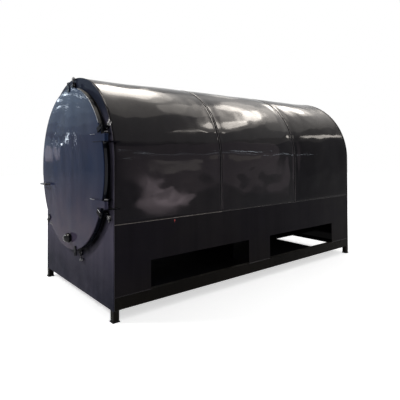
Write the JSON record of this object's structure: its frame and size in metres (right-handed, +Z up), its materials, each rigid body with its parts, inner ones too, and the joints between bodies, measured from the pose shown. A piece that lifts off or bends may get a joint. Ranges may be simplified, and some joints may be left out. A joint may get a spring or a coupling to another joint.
{
  "type": "horizontal carbonization furnace",
  "caption": "Barrel-topped steel furnace casing on short legs around a round charring drum, with a hinged round front door, swing-bolt clamps and side fire openings.",
  "frame": {"origin": "centre of the footprint, on the ground", "axes": "+X to the door's hinge side, +Y from the door to the closed rear end, +Z up"},
  "size_m": [1.941, 4.31, 2.494],
  "materials": {
    "casing_paint": "gloss black paint",
    "front_paint": "gloss blue-black paint",
    "door_paint": "gloss blue-black paint",
    "heat_dark_steel": "matt sooty steel",
    "bare_steel": "dull bare steel",
    "fitting_black": "gloss black paint"
  },
  "bodies": {
    "furnace": {"front_plate": "front_paint", "rear_plate": "casing_paint", "shell_panel_front": "casing_paint", "shell_panel_middle": "casing_paint", "shell_panel_rear": "casing_paint", "right_skirt_band": "casing_paint", "left_skirt_band": "casing_paint", "right_skirt_posts": "casing_paint", "left_skirt_posts": "casing_paint", "right_bottom_rail": "casing_paint", "left_bottom_rail": "casing_paint", "cross_bearers": "heat_dark_steel", "ash_floor_front": "heat_dark_steel", "ash_floor_rear": "heat_dark_steel", "leg_posts": "casing_paint", "foot_plates": "casing_paint", "drum_lower": "heat_dark_steel", "drum_upper": "heat_dark_steel", "drum_back_head": "heat_dark_steel", "drum_supports": "heat_dark_steel", "neck_ring": "front_paint", "clamp_lugs": "front_paint", "clamp_pins": "bare_steel", "hinge_lugs": "front_paint", "hinge_pins": "bare_steel"},
    "door": {"door_disc": "door_paint", "door_rim": "door_paint", "door_pan": "heat_dark_steel", "door_hinge_straps": "front_paint", "door_clamp_lugs": "front_paint", "door_handle": "bare_steel", "door_vent": "fitting_black"},
    "clamp_top": {"clamp_bolt_top": "front_paint", "clamp_nut_top": "bare_steel"},
    "clamp_upper_right": {"clamp_bolt_upper_right": "front_paint", "clamp_nut_upper_right": "bare_steel"},
    "clamp_lower_right": {"clamp_bolt_lower_right": "front_paint", "clamp_nut_lower_right": "bare_steel"},
    "clamp_bottom": {"clamp_bolt_bottom": "front_paint", "clamp_nut_bottom": "bare_steel"},
    "clamp_lower_left": {"clamp_bolt_lower_left": "front_paint", "clamp_nut_lower_left": "bare_steel"}
  },
  "joints": [
    {"name": "door_swing", "type": "hinge", "parent": "furnace", "child": "door", "pos_m": [0.9485, -2.083, 1.455], "axis": [0, 0, 1], "range_deg": [0, 120]},
    {"name": "clamp_top_swing", "type": "hinge", "parent": "furnace", "child": "clamp_top", "pos_m": [-0.0135, -2.023, 2.4], "axis": [1, 0, 0], "range_deg": [0, 45]},
    {"name": "clamp_upper_right_swing", "type": "hinge", "parent": "furnace", "child": "clamp_upper_right", "pos_m": [0.8285, -2.023, 1.88402], "axis": [0.454, 0, -0.891], "range_deg": [0, 45]},
    {"name": "clamp_lower_right_swing", "type": "hinge", "parent": "furnace", "child": "clamp_lower_right", "pos_m": [0.8285, -2.023, 1.02598], "axis": [-0.454, 0, -0.891], "range_deg": [0, 45]},
    {"name": "clamp_bottom_swing", "type": "hinge", "parent": "furnace", "child": "clamp_bottom", "pos_m": [0.19908, -2.023, 0.53422], "axis": [-0.9744, 0, -0.225], "range_deg": [0, 45]},
    {"name": "clamp_lower_left_swing", "type": "hinge", "parent": "furnace", "child": "clamp_lower_left", "pos_m": [-0.68172, -2.023, 0.78678], "axis": [-0.7071, 0, 0.7071], "range_deg": [0, 45]}
  ]
}
